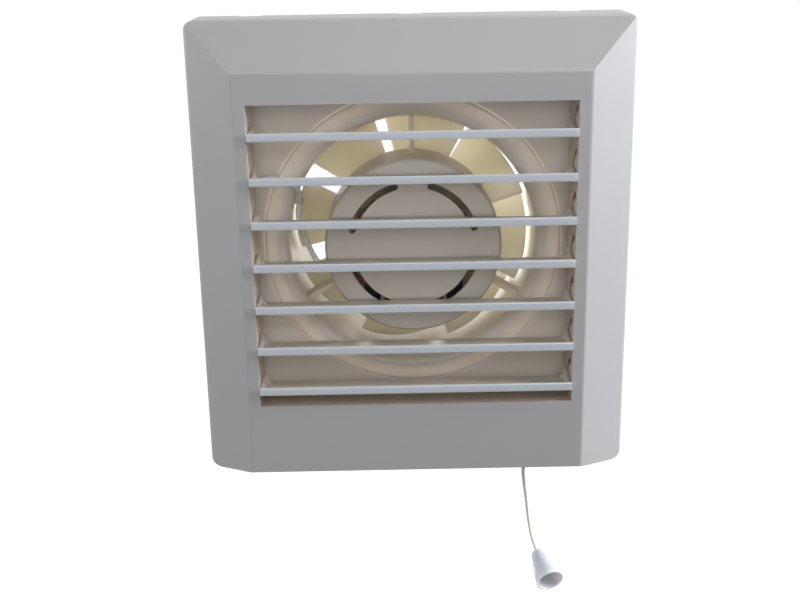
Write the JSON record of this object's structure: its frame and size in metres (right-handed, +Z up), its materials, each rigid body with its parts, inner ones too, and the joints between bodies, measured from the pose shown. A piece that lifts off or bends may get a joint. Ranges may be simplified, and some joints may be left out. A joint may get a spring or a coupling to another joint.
{
  "type": "window_exhaust_fan",
  "caption": "Square white axial exhaust fan for a 100 mm duct, with a slatted shutter behind its front cover and a pull cord that ends in a small bell.",
  "frame": {"origin": "On the fan's axis, in the plane of the wall or window that the casing's flat rear face lies on.", "axes": "+Y points through the wall along the duct, away from the room. +Z is up. +X is to the right for a person who looks at the front cover."},
  "size_m": [0.16, 0.0971, 0.2204],
  "materials": {
    "abs_white": "white moulded ABS, satin gloss",
    "abs_bright": "bright white moulded ABS, glossy",
    "abs_ivory": "ivory moulded ABS, satin",
    "pvc_red": "red PVC sleeve",
    "nylon_white": "natural nylon",
    "nylon_black": "black nylon",
    "bakelite": "cream moulded switch body",
    "steel": "zinc-plated steel",
    "lamination": "stacked silicon-steel sheets, edges bare",
    "brass": "plain turned brass",
    "copper": "enamelled copper",
    "bronze": "oil-soaked sintered bronze",
    "pvc_white": "white PVC sleeve",
    "cord_white": "braided polyester cord"
  },
  "bodies": {
    "housing": {"front_cover": "abs_white", "casing": "abs_ivory", "duct": "abs_ivory", "cover_screw": "steel", "motor_housing": "abs_ivory", "motor_cover": "abs_white", "stator_core": "lamination", "coil_bobbin": "nylon_white", "coil_winding": "copper", "front_bracket": "steel", "rear_bracket": "steel", "front_bearing": "bronze", "rear_bearing": "bronze", "motor_screw_left": "steel", "motor_screw_right": "steel", "shading_ring_left": "copper", "shading_ring_right": "copper", "pull_switch_body": "bakelite", "switch_screw_left": "steel", "switch_screw_right": "steel", "pull_spring": "steel", "cord_eyelet": "nylon_white", "terminal_block": "nylon_white", "cable_clamp": "nylon_white", "clamp_screw_left": "steel", "clamp_screw_right": "steel", "motor_lead": "pvc_white", "coil_lead": "pvc_red", "lead_clip": "nylon_white", "switch_lead": "pvc_white", "terminal_screw_1": "brass", "terminal_screw_2": "brass", "terminal_screw_3": "brass"},
    "slat_1_body": {"slat_1": "abs_bright"},
    "slat_2_body": {"slat_2": "abs_bright"},
    "slat_3_body": {"slat_3": "abs_bright"},
    "slat_4_body": {"slat_4": "abs_bright"},
    "slat_5_body": {"slat_5": "abs_bright"},
    "slat_6_body": {"slat_6": "abs_bright"},
    "slat_7_body": {"slat_7": "abs_bright"},
    "link": {"link_bar": "nylon_white"},
    "drive": {"shutter_crank": "nylon_white"},
    "fan_wheel": {"impeller": "abs_ivory", "impeller_nut": "brass", "rotor": "lamination", "motor_shaft": "steel"},
    "pull": {"switch_plunger": "nylon_black", "cord_inner": "cord_white", "pull_cord": "cord_white", "cord_bell": "abs_bright"}
  },
  "joints": [
    {"name": "fan_spin", "type": "hinge", "parent": "housing", "child": "fan_wheel", "pos_m": [0, 0, 0], "axis": [0, 1, 0], "continuous": true},
    {"name": "slat_1_turn", "type": "hinge", "parent": "housing", "child": "slat_1_body", "pos_m": [0, -0.025, 0.04431], "axis": [1, 0, 0], "range_deg": [0, 87]},
    {"name": "slat_2_turn", "type": "hinge", "parent": "housing", "child": "slat_2_body", "pos_m": [0, -0.025, 0.02831], "axis": [1, 0, 0], "range_deg": [0, 87]},
    {"name": "slat_3_turn", "type": "hinge", "parent": "housing", "child": "slat_3_body", "pos_m": [0, -0.025, 0.01231], "axis": [1, 0, 0], "range_deg": [0, 87]},
    {"name": "slat_4_turn", "type": "hinge", "parent": "housing", "child": "slat_4_body", "pos_m": [0, -0.025, -0.00369], "axis": [1, 0, 0], "range_deg": [0, 87]},
    {"name": "slat_5_turn", "type": "hinge", "parent": "housing", "child": "slat_5_body", "pos_m": [0, -0.025, -0.01969], "axis": [1, 0, 0], "range_deg": [0, 87]},
    {"name": "slat_6_turn", "type": "hinge", "parent": "housing", "child": "slat_6_body", "pos_m": [0, -0.025, -0.03569], "axis": [1, 0, 0], "range_deg": [0, 87]},
    {"name": "slat_7_turn", "type": "hinge", "parent": "housing", "child": "slat_7_body", "pos_m": [0, -0.025, -0.05169], "axis": [1, 0, 0], "range_deg": [0, 87]},
    {"name": "link_swing", "type": "hinge", "parent": "slat_1_body", "child": "link", "pos_m": [0.0619, -0.01611, 0.0429], "axis": [1, 0, 0], "range_deg": [-87, 0]},
    {"name": "drive_turn", "type": "hinge", "parent": "housing", "child": "drive", "pos_m": [0.058, -0.017, -0.0716], "axis": [1, 0, 0], "range_deg": [0, 87]},
    {"name": "cord_pull", "type": "slide", "parent": "housing", "child": "pull", "axis": [0, 0, -1], "range_m": [0, 0.007], "stiffness_N_per_m": 60, "springref_m": -0.01, "deforming": ["pull_spring"]}
  ],
  "couplings": [
    {"joint": "slat_2_turn", "follows": "slat_1_turn", "ratio": 1},
    {"joint": "slat_3_turn", "follows": "slat_1_turn", "ratio": 1},
    {"joint": "slat_4_turn", "follows": "slat_1_turn", "ratio": 1},
    {"joint": "slat_5_turn", "follows": "slat_1_turn", "ratio": 1},
    {"joint": "slat_6_turn", "follows": "slat_1_turn", "ratio": 1},
    {"joint": "slat_7_turn", "follows": "slat_1_turn", "ratio": 1},
    {"joint": "link_swing", "follows": "slat_1_turn", "ratio": -1},
    {"joint": "drive_turn", "follows": "slat_1_turn", "ratio": 1}
  ]
}
